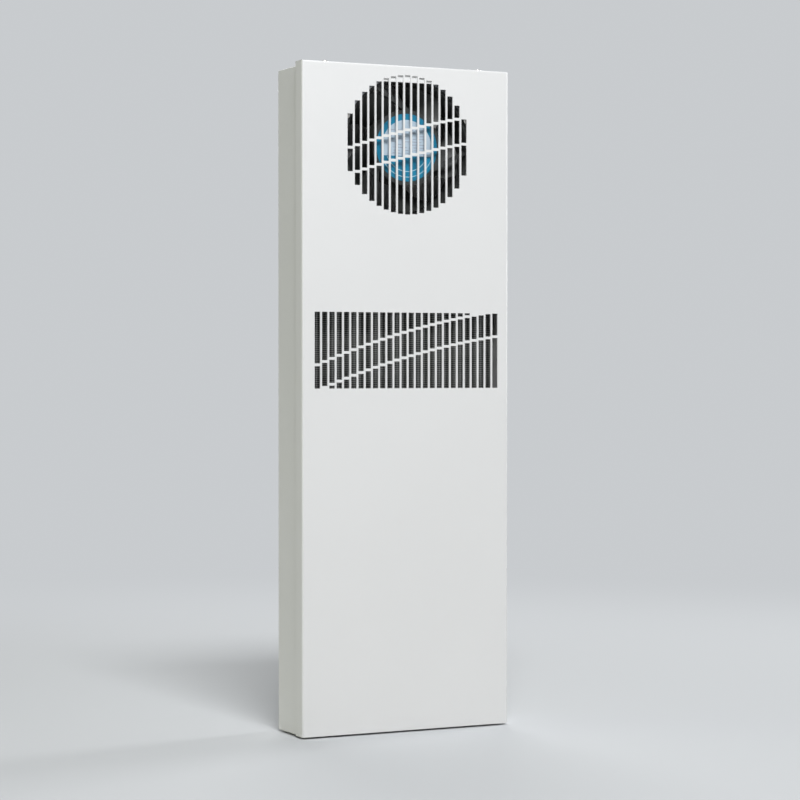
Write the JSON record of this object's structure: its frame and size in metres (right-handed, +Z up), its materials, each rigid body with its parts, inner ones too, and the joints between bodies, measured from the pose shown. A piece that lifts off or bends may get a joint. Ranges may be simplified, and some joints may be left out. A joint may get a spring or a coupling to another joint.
{
  "type": "air-to-air heat exchanger",
  "caption": "Slim wall-mounted air-to-air heat exchanger: painted tray housing and cover with slotted grilles, a folded-fin core and axial fans.",
  "frame": {"origin": "middle of the rectangle of mounting nuts, in the housing's rear mounting plane", "axes": "+X to the right seen from the front, +Y out of the rear face towards the wall, +Z up"},
  "size_m": [0.254, 0.077, 0.7414],
  "materials": {
    "white_coat": "fine powder coat",
    "zinc_sheet": "galvanised",
    "fin_sheet": "mill finish, rippled",
    "fan_casting": "black electrocoat",
    "impeller_plastic": "glass-filled moulded",
    "rotor_steel": "black lacquer",
    "winding": "lacquered copper wire",
    "bearing_steel": "ground",
    "zinc_steel": "bright zinc",
    "label_print": "printed film",
    "foam": "closed-cell foam",
    "black_rubber": "moulded",
    "terminal_plastic": "moulded",
    "terminal_brass": "nickel flash worn",
    "capacitor_can": "drawn can",
    "lead_jacket": "extruded jacket"
  },
  "bodies": {
    "housing": {"rear_housing": "white_coat", "housing_sides": "white_coat", "housing_top": "white_coat", "housing_bottom": "white_coat", "rear_gasket": "foam", "mounting_nuts": "zinc_steel", "front_cover": "white_coat", "cover_top_seal": "foam", "cover_lugs": "zinc_sheet", "cover_nuts": "zinc_steel", "cover_screws": "zinc_steel", "panel_rails": "zinc_sheet", "ambient_fan_plate": "zinc_sheet", "fan_plate_screws": "zinc_steel", "chamber_panel": "zinc_sheet", "chamber_panel_screws": "zinc_steel", "core_fins": "fin_sheet", "core_side_plates": "fin_sheet", "core_top_cap": "zinc_sheet", "core_bottom_cap": "zinc_sheet", "ambient_fan_frame": "fan_casting", "ambient_fan_stator": "winding", "ambient_fan_bearings": "bearing_steel", "ambient_fan_label": "label_print", "ambient_fan_screws": "zinc_steel", "enclosure_fan_frame": "fan_casting", "enclosure_fan_stator": "winding", "enclosure_fan_bearings": "bearing_steel", "enclosure_fan_label": "label_print", "enclosure_fan_screws": "zinc_steel", "fan_screw_nuts": "zinc_steel", "finger_guard": "zinc_steel", "terminal_bracket": "zinc_sheet", "terminal_block": "terminal_plastic", "terminal_screws": "terminal_brass", "fan_capacitors": "capacitor_can", "capacitor_clips": "zinc_sheet", "earth_stud": "terminal_brass", "cable_grommet": "black_rubber", "ambient_fan_lead": "lead_jacket", "enclosure_fan_lead": "lead_jacket"},
    "ambient_rotor": {"ambient_rotor_cup": "rotor_steel", "ambient_impeller": "impeller_plastic", "ambient_fan_shaft": "bearing_steel", "ambient_shaft_clip": "zinc_steel"},
    "enclosure_rotor": {"enclosure_rotor_cup": "rotor_steel", "enclosure_impeller": "impeller_plastic", "enclosure_fan_shaft": "bearing_steel", "enclosure_shaft_clip": "zinc_steel"}
  },
  "joints": [
    {"name": "ambient_fan_spin", "type": "hinge", "parent": "housing", "child": "ambient_rotor", "pos_m": [0.0025, -0.04, 0.2785], "axis": [0, -1, 0], "continuous": true},
    {"name": "enclosure_fan_spin", "type": "hinge", "parent": "housing", "child": "enclosure_rotor", "pos_m": [0.0025, -0.02, -0.2632], "axis": [0, -1, 0], "continuous": true}
  ]
}
